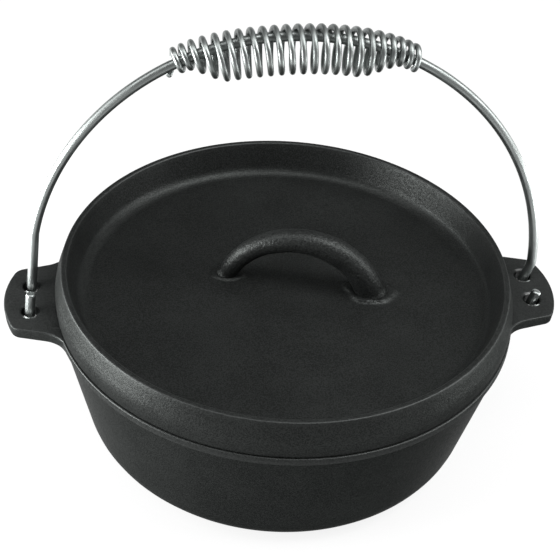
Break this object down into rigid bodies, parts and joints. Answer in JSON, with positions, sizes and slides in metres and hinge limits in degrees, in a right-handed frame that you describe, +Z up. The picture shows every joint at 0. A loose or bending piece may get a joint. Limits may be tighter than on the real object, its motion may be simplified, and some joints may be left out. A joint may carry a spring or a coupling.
{
  "type": "camp dutch oven",
  "caption": "Flat-based cast-iron camp oven with a dished lid, a loop handle on the lid, drilled ears and a wire bail with a coiled spring grip.",
  "frame": {"origin": "middle of the pot's flat base", "axes": "+Z up, X along the line through the two ears, -Y towards the side that the wire's cut ends face"},
  "size_m": [0.3396, 0.2796, 0.2634],
  "materials": {
    "pot_iron": "black seasoned cast iron, fine grain, satin",
    "lid_iron": "black seasoned cast iron, fine grain, satin",
    "bail_zinc": "bright zinc-plated steel wire",
    "spring_zinc": "bright zinc-plated spring wire"
  },
  "bodies": {
    "pot": {"pot": "pot_iron"},
    "lid": {"lid": "lid_iron"},
    "bail": {"bail": "bail_zinc", "spring_grip": "spring_zinc"}
  },
  "joints": [
    {"name": "lid_lift", "type": "slide", "parent": "pot", "child": "lid", "axis": [0, 0, 1], "range_m": [0, 0.05]},
    {"name": "bail_swing", "type": "hinge", "parent": "pot", "child": "bail", "pos_m": [0, 0, 0.08925], "axis": [1, 0, 0], "range_deg": [0, 12]}
  ]
}
